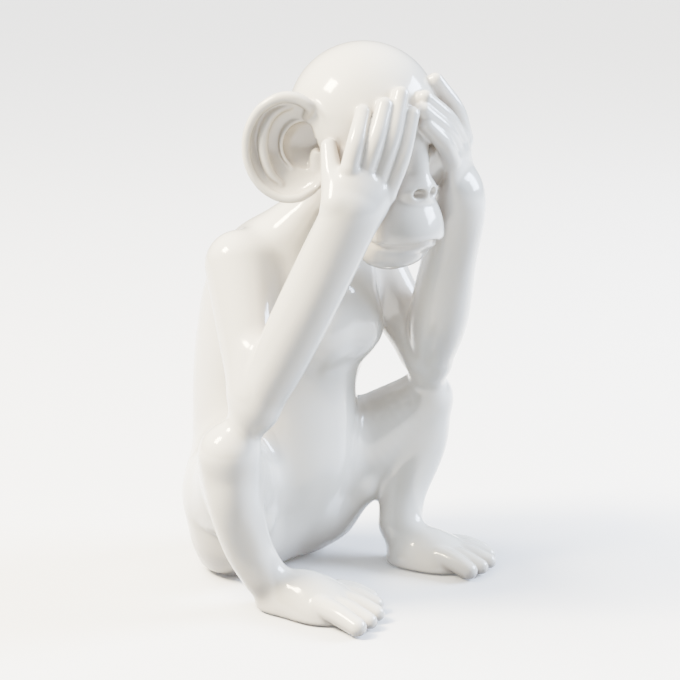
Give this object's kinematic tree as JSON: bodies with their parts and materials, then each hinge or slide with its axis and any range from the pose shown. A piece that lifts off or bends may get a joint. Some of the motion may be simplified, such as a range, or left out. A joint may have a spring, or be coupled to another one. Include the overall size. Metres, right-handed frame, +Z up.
{
  "type": "seated monkey figurine",
  "caption": "Glazed ceramic figurine of a squatting monkey with its hands over its eyes, on felt pads",
  "frame": {"origin": "middle of the resting face of the pad under the seat", "axes": "+Z up, the figure faces -Y, its left side is +X"},
  "size_m": [0.1834, 0.1628, 0.3],
  "materials": {
    "glaze": "gloss white glaze",
    "felt": "pressed felt"
  },
  "bodies": {
    "root": {"head": "glaze", "torso": "glaze", "right_ear": "glaze", "right_upper_arm": "glaze", "right_forearm": "glaze", "right_thigh": "glaze", "right_lower_leg": "glaze", "left_ear": "glaze", "left_upper_arm": "glaze", "left_forearm": "glaze", "left_thigh": "glaze", "left_lower_leg": "glaze", "seat_pad": "felt", "right_foot_pad": "felt", "left_foot_pad": "felt"}
  },
  "joints": []
}
